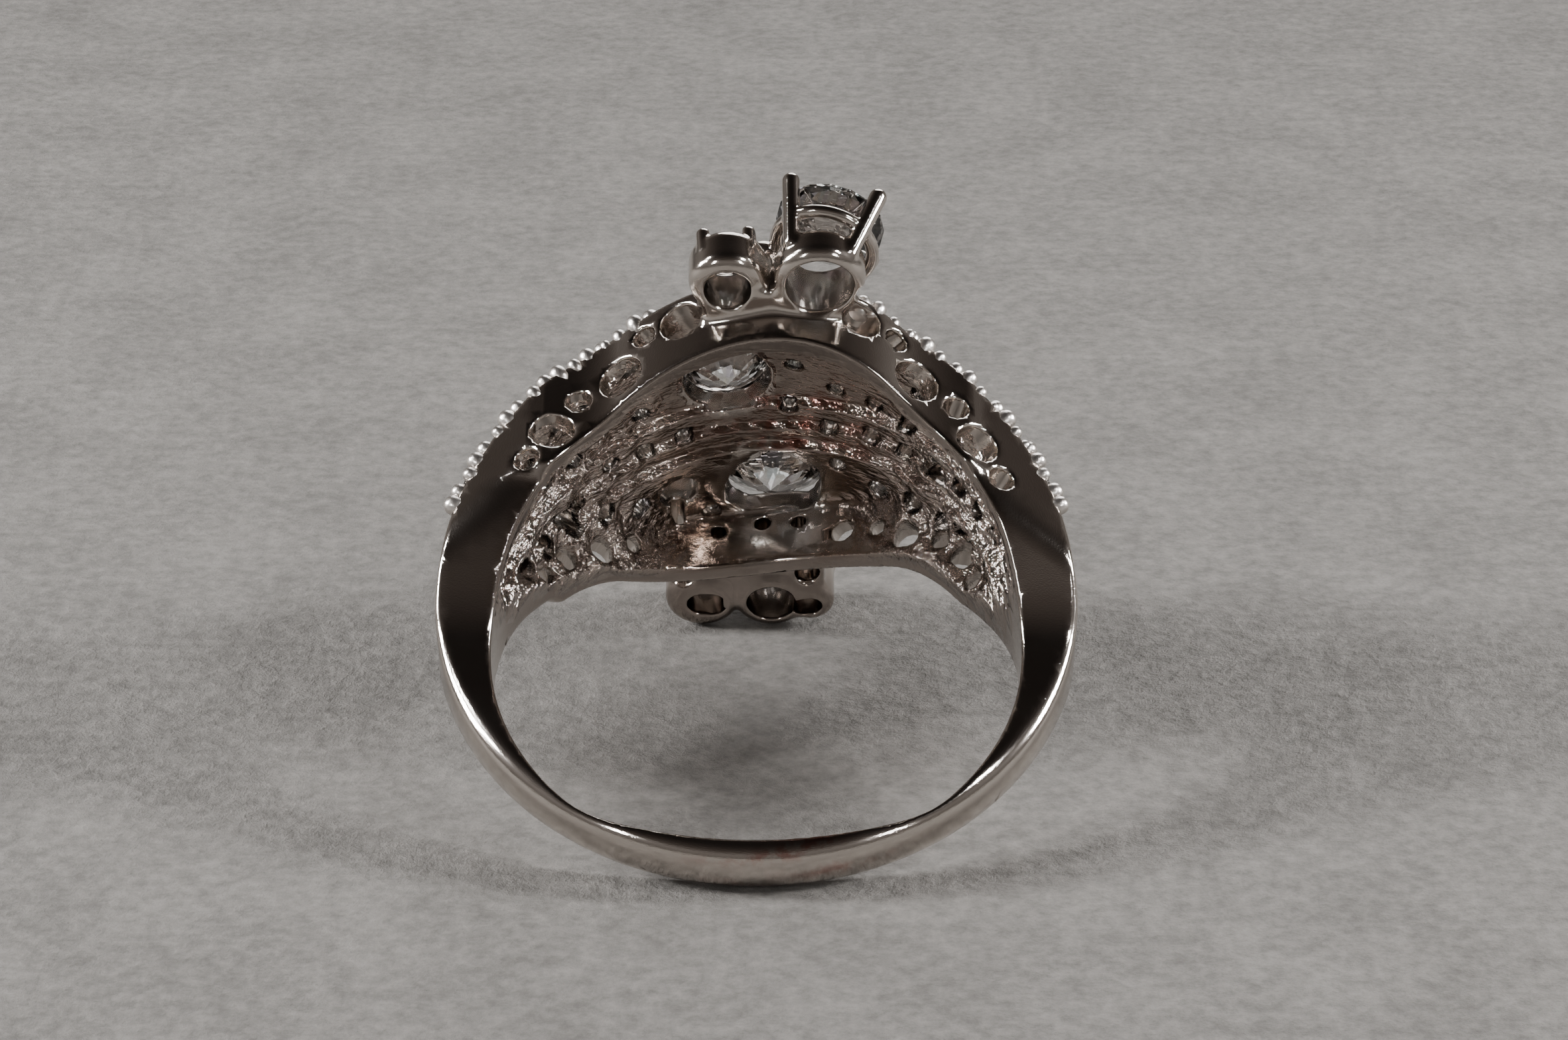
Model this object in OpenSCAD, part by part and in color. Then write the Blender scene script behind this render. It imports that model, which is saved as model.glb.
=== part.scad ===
/* [Finger hole and shank] */
// Radius of the finger hole
hole_r = 8.5; // [8.3:0.05:8.7]
// Distance from the finger axis to the flattened bottom of the hole
hole_low = 7.7; // [7.6:0.05:8]
// Thickness of the shank at the bottom
shank_t = 0.8; // [0.75:0.05:0.9]
// Width of the shank at the bottom
shank_w = 1.9; // [1.8:0.05:2.2]
// How much half the width grows for each millimetre up the shoulder
shoulder_slope = 0.42; // [0.4:0.01:0.44]

/* [Dome] */
// Half the width of the dome at its top, along the finger
dome_half = 5.85; // [5.75:0.05:5.95]
// Half the width of the dome at the shoulders
shoulder_half = 3.55; // [3.5:0.05:3.65]
// How far the dome overhangs the shank towards its near side
dome_shift = 0.5; // [0.45:0.05:0.55]
// How far its bulge is askew on the left and on the right
dome_skew = 0.4; // [0.35:0.05:0.45]
// Radius of the outline's bulge at the top, seen from above
bulge_r = 7.6; // [7.4:0.1:7.8]
// Radius of the outline's hollow flare beside the bulge
flare_r = 4; // [3.9:0.1:4.1]
// Height of the dome's top above the finger axis
dome_top = 12.25; // [12.2:0.05:12.3]
// Half the width of the dome's flat crown
crown_flat = 1.5; // [1.3:0.1:1.7]
// How far the crown falls from there to the near and far edges
crown_drop = 0.75; // [0.7:0.05:0.8]
// Thickness of the pierced gallery walls
gallery_t = 0.7; // [0.65:0.05:0.75]

/* [Stones] */
// Diameter of the stone at the far middle of the dome
far_centre_d = 4; // [3.9:0.05:4.1]
// Diameter of the stone at the near middle of the dome
near_centre_d = 3.2; // [3.1:0.05:3.3]
// Diameter of the stone in the tall four prong head
tall_d = 3.6; // [3.5:0.05:3.65]
// Diameter of the small stones along the edges
edge_d = 1.45; // [1.35:0.05:1.5]
// Diameter of the small stones on the dome
field_d = 1.3; // [1.2:0.05:1.35]
// Gap between a stone and the metal
stone_gap = 0.06; // [0.05:0.01:0.08]

/* [Rest] */
// Angle between the plane of the ring and the surface that it lies on
rest_tilt = 24; // [23.9:0.05:24.1]
// Height of the finger axis' middle above that surface
rest_height = 4.18; // [4.15:0.01:4.25]
// Distance of the finger axis' middle from the middle of the part's floor box
rest_back = -3.3; // [-3.4:0.01:-3.2]

/* [Hidden] */
MAIN_STONES = ["far_centre_stone", "near_centre_stone", "side_stone", "tall_head_stone",
    "round_head_stone", "between_head_stone", "far_left_stone", "far_middle_stone",
    "far_right_stone"];
metal_colour = "silver";
stone_colour = "lightcyan";

// The hole's flattened bottom is an arc of a larger circle
flat_r = 13.5;
flat_lift = flat_r - hole_low;

// The dome and the shank share one outside, which is set higher than the finger axis
body_low = hole_low + shank_t;
body_r = (dome_top + body_low) / 2;
body_lift = dome_top - body_r;

// Outline of the dome from above: a bulge, a hollow flare and a straight shoulder
bulge_y = dome_half - bulge_r;
flare_y = shoulder_half + flare_r;
flare_x = sqrt(pow(bulge_r + flare_r, 2) - pow(flare_y - bulge_y, 2));
join_x = flare_x * bulge_r / (bulge_r + flare_r);
shoulder_end = 11;
shoulder_taper = 0.45;

function plan_half(x) =
    abs(x) < join_x ? bulge_y + sqrt(bulge_r * bulge_r - x * x) :
    abs(x) < flare_x ? flare_y - sqrt(flare_r * flare_r - pow(abs(x) - flare_x, 2)) :
    shoulder_half - shoulder_taper * (abs(x) - flare_x);

// Middle of that outline, which lies nearer on the right than on the left
skew_span = 7.5;
function plan_middle(x) =
    -dome_shift - (abs(x) < skew_span ? dome_skew * sin(180 * x / skew_span) : 0);

// Either wall of the outline (1 far, -1 near), moved in by inset, and its slope
function plan_slope(x, wall) =
    atan((plan_middle(x + 0.05) - plan_middle(x - 0.05)
        + wall * (plan_half(x + 0.05) - plan_half(x - 0.05))) / 0.1);
function plan_y(x, wall, inset = 0) =
    plan_middle(x) + wall * (plan_half(x) - inset / cos(plan_slope(x, wall)));

// Either wall at a height above the finger axis, seen from the side
taper_soft = 0.85;
right_more = 0.4;
overhang_rise = 4;
function overhang(z) = let(t = min(1, max(0, z / overhang_rise))) t * t * (3 - 2 * t);
function side_half(z, side) =
    shank_w / 2 + shoulder_slope * taper_soft * ln(1 + exp(z / taper_soft))
        + (side > 0 ? right_more * overhang(z) : 0);
function side_y(z, wall, side) = wall * side_half(z, side) - dome_shift * overhang(z);

// The dome's outside at an angle from its top and a distance along the finger
function body_at(y) = body_r - crown_drop * max(0, abs(y) - crown_flat) / (dome_half - crown_flat);
function dome_x(turn, y) = body_at(y) * sin(turn);
function dome_z(turn, y) = body_lift + body_at(y) * cos(turn);
edge_at = 3;
function wall_y(x, z, wall) = wall * min(wall * plan_y(x, wall), wall * side_y(z, wall, sign(x)));
function edge_y(turn, wall) = wall_y(dome_x(turn, edge_at), dome_z(turn, edge_at), wall);

// Places a child on the dome with its axis square to the surface
module on_dome(turn, y, height = 0) {
    lean = abs(y) > crown_flat ? -sign(y) * atan(crown_drop / (dome_half - crown_flat)) : 0;
    translate([0, 0, body_lift]) rotate([0, turn, 0]) translate([0, y, body_at(y)])
        rotate([lean, 0, 0]) translate([0, 0, height]) children();
}

// Lays the ring down as it rests, on its shank and the lobes of the far head
module at_rest() {
    translate([0, rest_back, rest_height]) rotate([rest_tilt - 90, 0, 0]) children();
}

// A solid of revolution about an axis along the finger, from a half outline of
// points that hold the distance along the finger and the radius
module turned(lift, outline) {
    reach = outline[len(outline) - 1][0];
    translate([0, 0, lift]) rotate([90, 0, 0]) rotate_extrude($fn = 180) polygon(concat(
        [[0, -reach]],
        [for (i = [len(outline) - 1 : -1 : 0]) [outline[i][1], -outline[i][0]]],
        [for (p = outline) if (p[0] > 0) [p[1], p[0]]],
        [[0, reach]]));
}

// Outside of the body: a flat middle and an even fall to both edges
module body_outside() {
    turned(body_lift, [[crown_flat, body_r], [dome_half, body_r - crown_drop],
        [dome_half + 1, body_r - crown_drop]]);
}

// The shank's outer corners are eased at the bottom, and less and less up its sides
ease_lift = body_lift + 0.7;
ease_r = body_low + ease_lift;
ease_flat = 0.4;
ease_drop = 0.36;
ease_end = 1.3;
module eased_shank() {
    turned(ease_lift, [[ease_flat * shank_w / 2, ease_r], [shank_w / 2, ease_r - ease_drop],
        [shank_w, ease_r - ease_end]]);
    translate([-12, -8, -1]) cube([24, 16, 20]);
}

// Outline from above, with its walls moved in by inset
module plan(inset) {
    bends = 6;
    bulge_turn = asin(join_x / bulge_r);
    right = concat(
        [for (i = [1 : bends]) bulge_r * sin(bulge_turn * i / bends)],
        [for (i = [1 : bends]) flare_x - flare_r * sin(bulge_turn * (1 - i / bends))],
        [shoulder_end]);
    xs = concat([for (i = [len(right) - 1 : -1 : 0]) -right[i]], [0], right);
    polygon(concat(
        [for (x = xs) [x, plan_y(x, 1, inset)]],
        [for (i = [len(xs) - 1 : -1 : 0]) [xs[i], plan_y(xs[i], -1, inset)]]));
}

// Outline of the left or right side, widening from the shank up to the dome
SIDE_STEPS = [-11, -2.5, -1.2, -0.4, 0.4, 1.2, 2, 3, 4, 6];
dome_foot = 5.9;
module side_outline(inset, side) {
    polygon(concat(
        [for (z = SIDE_STEPS) [side_y(z, 1, side) - inset, z]],
        [for (i = [len(SIDE_STEPS) - 1 : -1 : 0])
            [side_y(SIDE_STEPS[i], -1, side) + inset, SIDE_STEPS[i]]]));
    translate([-8, dome_foot]) square([16, 12]);
}

// Everything between the two rails, from above and from the side
module between_rails(inset) {
    intersection() {
        translate([0, 0, -11.5]) linear_extrude(30) plan(inset);
        for (side = [-1, 1]) rotate([90, 0, 90])
            translate([0, 0, side < 0 ? -shoulder_end : 0]) linear_extrude(shoulder_end)
                side_outline(inset, side);
    }
}

// The finger hole, round with a flattened bottom
module finger_hole() {
    rotate([90, 0, 0]) intersection() {
        cylinder(r = hole_r, h = 30, center = true, $fn = 180);
        translate([0, flat_lift, 0]) cylinder(r = flat_r, h = 30, center = true, $fn = 180);
    }
}

// Three tiers inside the dome, each a little prouder of the next along one edge
hollow_lift = 2.9;
tier_turn = -6;
TIERS = [
    // along the finger, radius
    [-8, 7.8], [-0.7, 8.3], [-0.7, 7.98], [0.3, 8.15], [0.3, 7.85], [1.15, 8.05],
    [1.15, 7.72], [8, 8.55]];
module dome_hollow() {
    intersection() {
        between_rails(gallery_t);
        translate([0, 0, hollow_lift]) rotate([0, 0, tier_turn]) rotate([90, 0, 0])
            rotate_extrude($fn = 180)
                polygon(concat([[0, -8]], [for (t = [len(TIERS) - 1 : -1 : 0])
                    [TIERS[t][1], -TIERS[t][0]]], [[0, 8]]));
    }
}

// Holes along the near wall, large and small in turn, on each side of its middle
NEAR_HOLES = [
    // angle, distance from the finger axis, radius
    [16.5, 10.45, 0.72], [23, 10.7, 0.4], [30, 9.72, 0.78], [38.5, 9.95, 0.42],
    [47, 9.5, 0.7], [55.5, 9.4, 0.42]];
near_middle = 2.5;

// Smaller holes along the far wall, beside the far head
FAR_HOLES = [
    // angle from the top, distance from the finger axis, radius
    [-54, 9.4, 0.34], [-45.5, 9.35, 0.38], [-36.5, 9.4, 0.45], [-28.5, 9.7, 0.3],
    [19, 9.7, 0.42], [26.5, 9.8, 0.3], [33.5, 9.45, 0.46], [40.5, 9.6, 0.3],
    [46.5, 9.4, 0.4], [55, 9.3, 0.36]];
wall_hole_length = 1.9;
module wall_hole(turn, far, r, wall) {
    x = far * sin(turn);
    z = far * cos(turn);
    translate([x, wall_y(x, z, wall), z]) rotate([0, 0, plan_slope(x, wall)])
        rotate([90, 0, 0]) cylinder(r = r, h = wall_hole_length, center = true, $fn = 32);
}
module gallery_holes() {
    for (side = [-1, 1], h = NEAR_HOLES) wall_hole(side * h[0] + near_middle, h[1], h[2], -1);
    for (h = FAR_HOLES) wall_hole(h[0], h[1], h[2], 1);
}

// A brilliant with its girdle's middle at the origin and its table up
module brilliant(d, n = 8) {
    girdle = 0.03 * d;
    rings = [
        // radius, height, offset in steps
        [0.29 * d, 0.17 * d, 0.5], [0.5 * d, girdle / 2, 0], [0.5 * d, -girdle / 2, 0]];
    points = concat(
        [for (ring = rings, i = [0 : n - 1])
            [ring[0] * cos((i + ring[2]) * 360 / n), ring[0] * sin((i + ring[2]) * 360 / n),
                ring[1]]],
        [[0, 0, -0.42 * d]]);
    culet = 3 * n;
    function at(ring, i) = ring * n + i % n;
    faces = concat(
        [[for (i = [0 : n - 1]) at(0, n - 1 - i)]],
        [for (i = [0 : n - 1]) [at(0, i), at(0, i + 1), at(1, i + 1)]],
        [for (i = [0 : n - 1]) [at(0, i), at(1, i + 1), at(1, i)]],
        [for (i = [0 : n - 1]) [at(1, i), at(1, i + 1), at(2, i + 1), at(2, i)]],
        [for (i = [0 : n - 1]) [at(2, i), at(2, i + 1), culet]]);
    polyhedron(points = points, faces = faces);
}

// The seat of such a stone: a cone under the girdle and a narrow hole below it
edge_hole = 0.34;
field_hole = 0.3;
small_depth = 2.4;
module seat(d, hole, depth = small_depth) {
    r = d / 2 + stone_gap;
    low = -0.42 * d - 1.6 * stone_gap;
    neck = low * (1 - hole / r) - 0.02 * d;
    rotate_extrude($fn = 24) polygon([[0, -depth], [hole, -depth], [hole, neck],
        [r, -0.02 * d], [r, 1.5], [0, 1.5]]);
}

// Rows of small stones along both edges of the dome
edge_first = 27.5;
edge_step = 10;
edge_count = 5;
edge_in = 0.88;
function edge_turn(i) = edge_first + i * edge_step;
module edge_places(wall) {
    for (side = [-1, 1], i = [0 : edge_count - 1])
        on_dome(side * edge_turn(i), edge_y(side * edge_turn(i), wall) - wall * edge_in,
            -stone_sink) children();
}

// Rows of small stones down both sides of the dome
ROWS = [
    // distance from the outline's middle, first angle, step, count
    [-0.75, 25, 8.6, 2], [0.75, 25, 8.6, 2], [0, 42.4, 8.2, 4]];

// Small stones between the large ones on top
FILL = [
    // across, along the finger
    [1.35, -2.7], [1.2, -0.6], [2.95, -1.9], [2.75, 0.1], [3.15, 1.9], [-2.85, 0.5],
    [-2.7, -3.7], [-1.2, -4.35], [0.35, -4.05], [1.9, -4.35], [3.4, -3.5], [-1.75, 4.6],
    [0.3, -5.5]];
stone_sink = 0.12;
module dome_places() {
    for (row = ROWS, side = [-1, 1], i = [0 : row[3] - 1]) {
        turn = side * (row[1] + i * row[2]);
        on_dome(turn, row[0] + plan_middle(dome_x(turn, 0)), -stone_sink) children();
    }
    for (f = FILL) on_dome(asin(f[0] / body_at(f[1])), f[1], -stone_sink) children();
}

// Large stones of the dome and both heads, each where it sits
PLACES = [
    // across, along the finger, height of the girdle, diameter, lean to the right, prongs,
    // radius of the hole below, its depth
    [0.5, 2.95, 12, far_centre_d, 2.5, 6, 1.85, 1.3],
    [-1.15, -1.85, 12.1, near_centre_d, -6.5, 4, 1.45, 1.5],
    [-3.15, 2.95, 11.55, 1.6, -18, 4, 0.7, 2],
    [2.4, -7.65, 12.5, tall_d, 11, 0, 0.9, 2.3],
    [-1, -7.3, 11.5, 1.9, -4, 4, 0.57, 2.4],
    [0.2, -6.6, 12, 1.1, 2, 4, 0.36, 1.2],
    [-1.95, 7.4, 11.3, 1.8, -8, 4, 0.54, 2.4],
    [0.4, 7.4, 11.7, 2.2, 0, 4, 0.66, 2.4],
    [1.95, 7.5, 11.2, 1.3, 10, 4, 0.39, 2.4]];
module at_place(i) {
    p = PLACES[i];
    translate([p[0], p[1], p[2]]) rotate([0, p[4], 0]) children();
}

// Round cups of the two heads, each an open ring under its stone
CUPS = [
    // across, along the finger, foot, height, outer radius, foot hole
    [2.05, -7.6, 9.65, 1.45, 1.5, 1.1],
    [-0.95, -7.26, 9.87, 1.7, 1.28, 0.74],
    [0.2, -6.6, 11.2, 1.05, 0.8, 0.38],
    [-1.95, 7.4, 8.95, 2.4, 1.3, 0.52],
    [0.45, 7.35, 8.95, 2.8, 1.35, 0.84],
    [1.8, 7.5, 8.95, 2.3, 0.85, 0.4]];
cup_round = 0.5;
module cup(c) {
    r = c[4];
    ease = min(cup_round, r / 2);
    translate([c[0], c[1], c[2]]) rotate_extrude($fn = 64) {
        translate([r - ease, ease]) circle(r = ease, $fn = 32);
        square([r - ease, c[3]]);
        translate([0, ease]) square([r, c[3] - ease]);
    }
}

// Webs that carry the cups from the rails
WEBS = [
    // left and right at the rail, left and right at the cups, along at the rail and at
    // the cups, foot, height
    [-2.2, 3.5, -1.3, 2.9, -5.5, -7.15, 9.75, 1.8],
    [-2.9, 2.5, -2.5, 2.1, 4.8, 7.4, 9.15, 2]];
module web(w) {
    translate([0, 0, w[6]]) linear_extrude(w[7]) polygon([
        [w[0], w[4]], [w[1], w[4]], [w[3], w[5]], [w[2], w[5]]]);
}

// Small holes through the far web, and through the far wall close under the crown
WEB_HOLES = [
    // across, along the finger, radius
    [-2.65, 6.1, 0.4], [1.7, 6.05, 0.4]];
WALL_HOLES = [
    // across, height, radius
    [-2.8, 10.35, 0.26], [-1.38, 10, 0.26], [0.15, 10.3, 0.28], [1.4, 10.1, 0.26]];
wall_holes_foot = 3.6;
wall_holes_end = 5.9;
module small_holes() {
    for (h = WEB_HOLES) translate([h[0], h[1], 8]) cylinder(r = h[2], h = 6, $fn = 32);
    for (h = WALL_HOLES) translate([h[0], wall_holes_foot, h[1]]) rotate([-90, 0, 0])
        cylinder(r = h[2], h = wall_holes_end - wall_holes_foot, $fn = 32);
}

// The tall head is a basket that leans to the right: four stout prongs rise and spread
// from its open base ring, with a thin ring between them under the stone
tall_index = search(["tall_head_stone"], MAIN_STONES)[0];
tall_turn = 49;
prong_r = 0.3;
prong_top = 0.18;
prong_length = 2.35;
prong_out = 0.24;
prong_tilt = 17;
band_drop = 1.05;
band_in = 0.2;
band_r = 0.22;
module tall_head() {
    at_place(tall_index) rotate([0, 0, tall_turn]) {
        for (k = [0 : 3]) rotate([0, 0, k * 90])
            translate([tall_d / 2 + prong_out, 0, prong_top]) {
                rotate([0, prong_tilt, 0]) translate([0, 0, -prong_length])
                    cylinder(r = prong_r, h = prong_length, $fn = 24);
                sphere(r = prong_r, $fn = 24);
            }
        translate([0, 0, -band_drop]) rotate_extrude($fn = 64)
            translate([tall_d / 2 - band_in, 0]) circle(r = band_r, $fn = 24);
    }
}

// Small prongs in pairs between the stones along each edge
prong_turn = 1.65;
prong_in = 0.27;
grain_r = 0.24;
grain_foot = 0.3;
grain_top = 0.32;
module edge_prongs(wall) {
    for (side = [-1, 1], i = [0 : edge_count], pair = [-1, 1]) {
        turn = edge_turn(i) - edge_step / 2;
        on_dome(side * (turn + pair * prong_turn), edge_y(side * turn, wall) - wall * prong_in,
            -grain_foot) cylinder(r = grain_r, h = grain_foot + grain_top, $fn = 16);
    }
}

// Small prongs round the large stones, thicker at a larger stone
stone_prong_r = 0.16;
stone_prong_more = 0.05;
stone_prong_foot = 0.7;
stone_prong_top = 0.4;
module stone_prongs() {
    for (i = [0 : len(PLACES) - 1]) if (PLACES[i][5] > 0) {
        r = stone_prong_r + stone_prong_more * PLACES[i][3];
        at_place(i) for (k = [1 : PLACES[i][5]]) rotate([0, 0, (k + 0.5) * 360 / PLACES[i][5]])
            translate([PLACES[i][3] / 2 + r / 3, 0, -stone_prong_foot])
                cylinder(r = r, h = stone_prong_foot + stone_prong_top, $fn = 24);
    }
}

// Open slots where the tiers part at the shoulders
SLOTS = [
    // angle, along the finger, length along the ring, width
    [-47, 1.55, 1.1, 0.4], [43, -0.02, 0.8, 0.45], [55, 1.6, 0.8, 0.4]];
module slots() {
    for (s = SLOTS) on_dome(s[0], s[1]) translate([0, 0, -3]) {
        for (end = [-1, 1]) translate([end * s[2] / 2, 0]) cylinder(d = s[3], h = 6, $fn = 24);
        translate([-s[2] / 2, -s[3] / 2]) cube([s[2], s[3], 6]);
    }
}

module ring_mount() {
    color(metal_colour) at_rest() difference() {
        union() {
            intersection() {
                between_rails(0);
                body_outside();
                eased_shank();
            }
            for (w = WEBS) web(w);
            for (c = CUPS) cup(c);
            tall_head();
            stone_prongs();
            for (wall = [-1, 1]) edge_prongs(wall);
        }
        finger_hole();
        dome_hollow();
        gallery_holes();
        slots();
        small_holes();
        for (c = CUPS) translate([c[0], c[1], c[2] - 0.5])
            cylinder(r = c[5], h = c[3] + 1, $fn = 32);
        for (i = [0 : len(PLACES) - 1]) at_place(i)
            seat(PLACES[i][3], PLACES[i][6], PLACES[i][7]);
        for (wall = [-1, 1]) edge_places(wall) seat(edge_d, edge_hole);
        dome_places() seat(field_d, field_hole);
    }
}

module main_stone(i) {
    color(stone_colour) at_rest() at_place(i) brilliant(PLACES[i][3], 16);
}

module edge_stones(wall) {
    color(stone_colour) at_rest() edge_places(wall) brilliant(edge_d);
}

module dome_stones() {
    color(stone_colour) at_rest() dome_places() brilliant(field_d);
}

ring_mount();
for (i = [0 : len(MAIN_STONES) - 1])
    main_stone(i);
edge_stones(-1);  // near_edge_stones
edge_stones(1);  // far_edge_stones
dome_stones();
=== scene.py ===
import bmesh
import bpy
import math
import numpy as np
import openvdb
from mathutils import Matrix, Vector


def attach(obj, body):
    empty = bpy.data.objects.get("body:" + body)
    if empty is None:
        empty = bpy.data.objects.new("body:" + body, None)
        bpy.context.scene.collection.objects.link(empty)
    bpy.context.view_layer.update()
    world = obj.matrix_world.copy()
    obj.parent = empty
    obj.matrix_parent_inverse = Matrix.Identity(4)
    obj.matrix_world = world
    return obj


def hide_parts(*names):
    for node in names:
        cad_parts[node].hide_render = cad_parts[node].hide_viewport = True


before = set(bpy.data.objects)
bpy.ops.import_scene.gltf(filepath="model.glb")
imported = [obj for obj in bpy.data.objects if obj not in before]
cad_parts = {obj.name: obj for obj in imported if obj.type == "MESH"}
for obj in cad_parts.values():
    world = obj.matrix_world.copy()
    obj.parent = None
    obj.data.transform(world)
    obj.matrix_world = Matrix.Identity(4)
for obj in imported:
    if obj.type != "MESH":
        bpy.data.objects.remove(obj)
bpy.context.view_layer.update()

# Camera
# It stands low in front of the ring's open side and looks a little down into the finger hole,
# with a long lens that has no shift.
MM = 0.001
view_aim = Vector((0.89, -1.36, 8.48)) * MM
view_distance = 140 * MM
view_depression = math.radians(24.22)
view_lens = 99.66
camera_data = bpy.data.cameras.new("camera")
camera_data.lens = view_lens
camera_data.sensor_width = 36
camera_data.clip_start = 0.001
camera = bpy.data.objects.new("camera", camera_data)
bpy.context.scene.collection.objects.link(camera)
view_line = Vector((0, math.cos(view_depression), -math.sin(view_depression)))
camera.location = view_aim - view_line * view_distance
camera.rotation_euler = (math.pi / 2 - view_depression, 0, 0)
bpy.context.scene.camera = camera

# Cast body
# Shank and pierced dome are one casting in white gold. Its outside is filed and polished,
# and the hollow under the dome is left as it came from the mould, in rough tiers.
ring_tilt = math.radians(24)
ring_height = 4.18
ring_back = -3.3
pattern_fold = 2.3


def laid(points):
    """Points in the ring's own space, in millimetres, as they lie on the floor, in metres."""
    x, y, z = np.asarray(points, dtype=float).T
    return MM * np.stack([
        x,
        y * math.sin(ring_tilt) + z * math.cos(ring_tilt) + ring_back,
        z * math.sin(ring_tilt) - y * math.cos(ring_tilt) + ring_height], axis=1)


def joined(a, b, soft):
    """Distance to two shapes together, with the corner between them filled."""
    h = np.clip(0.5 + 0.5 * (b - a) / soft, 0, 1)
    return b + h * (a - b) - soft * h * (1 - h)


def shared(a, b, soft):
    """Distance to what two shapes share, with its edges eased."""
    return -joined(-a, -b, soft)


def cut(a, b, soft):
    """Distance to the first shape with the second cut out of it."""
    return -joined(-a, b, soft)


class Block:
    """A box of the ring's own space, in millimetres, with a distance at every step of it."""

    def __init__(self, low, high, step):
        self.low = np.array(low, dtype=float)
        self.step = step
        counts = [int(math.ceil((b - a) / step)) + 1 for a, b in zip(low, high)]
        axes = [a + step * np.arange(n, dtype=np.float32) for a, n in zip(low, counts)]
        self.x, self.y, self.z = np.ix_(*[axis.astype(np.float32) for axis in axes])
        self.field = None

    def near(self, centre, reach):
        """The part of the block within reach of a point, and places from that point in it."""
        parts = []
        for axis, low in enumerate(self.low):
            a = int((centre[axis] - reach - low) / self.step)
            b = int((centre[axis] + reach - low) / self.step) + 2
            parts.append(slice(max(a, 0), max(b, 0)))
        x, y, z = self.x[parts[0]], self.y[:, parts[1]], self.z[:, :, parts[2]]
        return tuple(parts), x - centre[0], y - centre[1], z - centre[2]

    def mesh(self, name, coarse, finish):
        """A smooth mesh of the surface, laid down with the ring, coarser where it is flat."""
        band = 3 * self.step
        grid = openvdb.FloatGrid(band)
        grid.copyFromArray(np.clip(self.field, -band, band).astype(np.float32))
        points, triangles, quads = grid.convertToPolygons(0.0, coarse)
        slopes = np.stack(np.gradient(self.field), axis=-1)
        base = np.clip(points.astype(int), 0, np.array(self.field.shape) - 2)
        part = points - base
        normals = np.zeros(points.shape)
        for corner in np.ndindex(2, 2, 2):
            weight = np.prod(np.where(corner, part, 1 - part), axis=1)
            normals += weight[:, None] * slopes[tuple((base + corner).T)]
        normals = laid(normals) - laid([(0, 0, 0)])
        normals /= np.maximum(np.linalg.norm(normals, axis=1), 1e-12)[:, None]
        mesh = bpy.data.meshes.new(name)
        mesh.from_pydata(laid(points * self.step + self.low), [],
            triangles.tolist() + quads.tolist())
        mesh.validate()
        mesh.shade_smooth()
        mesh.normals_split_custom_set_from_vertices(normals)
        x, y, z = (points * self.step + self.low).T
        for layer, value in (("cast", cast_skin(x, y, z)), ("residue", polish_left(x, y, z)),
                ("ripple", flank(x, y)), ("dull", painted_bore_shade(x, y, z))):
            mesh.attributes.new(layer, "FLOAT", "POINT").data.foreach_set("value", value)
        # a pattern round the ring turns back low on the shank, so that it meets itself there
        turn = np.arctan2(x, z)
        fold = (np.pi - np.abs(turn)) * pattern_fold
        around = np.sign(turn) * np.minimum(np.abs(turn), fold)
        lay = np.stack([around * hole_r, y, np.hypot(x, z)], axis=1)
        mesh.attributes.new("lay", "FLOAT_VECTOR", "POINT").data.foreach_set(
            "vector", lay.astype(np.float32).ravel())
        mesh.materials.append(finish)
        ob = bpy.data.objects.new(name, mesh)
        bpy.context.scene.collection.objects.link(ob)
        return ob


# finger hole, flatter at its bottom, and the outline from above
hole_r = 8.5
flat_r = 13.5
flat_low = 7.7
flat_lift = flat_r - flat_low
shank_low = 8.5
shank_half = 0.95
dome_half = 5.85
dome_top = 12.25
bulge_r = 7.6
flare_r = 4.0
shoulder_half = 3.55
shoulder_taper = 0.45
dome_shift = 0.5
dome_skew = 0.4
skew_span = 7.5
crown_flat = 1.5
crown_drop = 0.75
body_r = (dome_top + shank_low) / 2
body_lift = dome_top - body_r
bulge_y = dome_half - bulge_r
flare_y = shoulder_half + flare_r
flare_x = math.sqrt((bulge_r + flare_r) ** 2 - (flare_y - bulge_y) ** 2)
join_x = flare_x * bulge_r / (bulge_r + flare_r)


def plan_half(x):
    """Half the width of the dome seen from above."""
    x = np.abs(x)
    bulge = bulge_y + np.sqrt(np.maximum(bulge_r ** 2 - x * x, 0))
    flare = flare_y - np.sqrt(np.maximum(flare_r ** 2 - (x - flare_x) ** 2, 0))
    return np.where(x < join_x, bulge, np.where(x < flare_x, flare,
        shoulder_half - shoulder_taper * (x - flare_x)))


def plan_middle(x):
    """Middle of that width, which lies nearer on the right."""
    return -dome_shift - dome_skew * np.sin(np.pi * np.clip(x / skew_span, -1, 1))


# outline from the side
side_slope = 0.42
side_soft = 0.85
right_more = 0.4
overhang_rise = 4
dome_foot = 4.8
foot_free = 1.6
wall_flow = 0.45
flow_top = 9
flow_rise = 4
flow_least = 0.2


def overhang(z):
    """0 at the shank and 1 from where the dome has its full shift to the side."""
    t = np.clip(z / overhang_rise, 0, 1)
    return t * t * (3 - 2 * t)


def side_half(x, z):
    """Half the width seen from the side, which the dome leaves behind above its foot."""
    free = foot_free * np.maximum(z - dome_foot, 0) ** 2
    right = right_more * overhang(z) * (x > 0)
    return shank_half + side_slope * side_soft * np.log1p(np.exp(z / side_soft)) + right + free


def wall(x, z, side):
    """How far along the finger the near wall (-1) or the far wall (1) is."""
    above = plan_half(x) + side * plan_middle(x)
    beside = side_half(x, z) - side * dome_shift * overhang(z)
    return joined(above, beside, wall_flow * np.clip((flow_top - z) / flow_rise, flow_least, 1))


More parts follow.
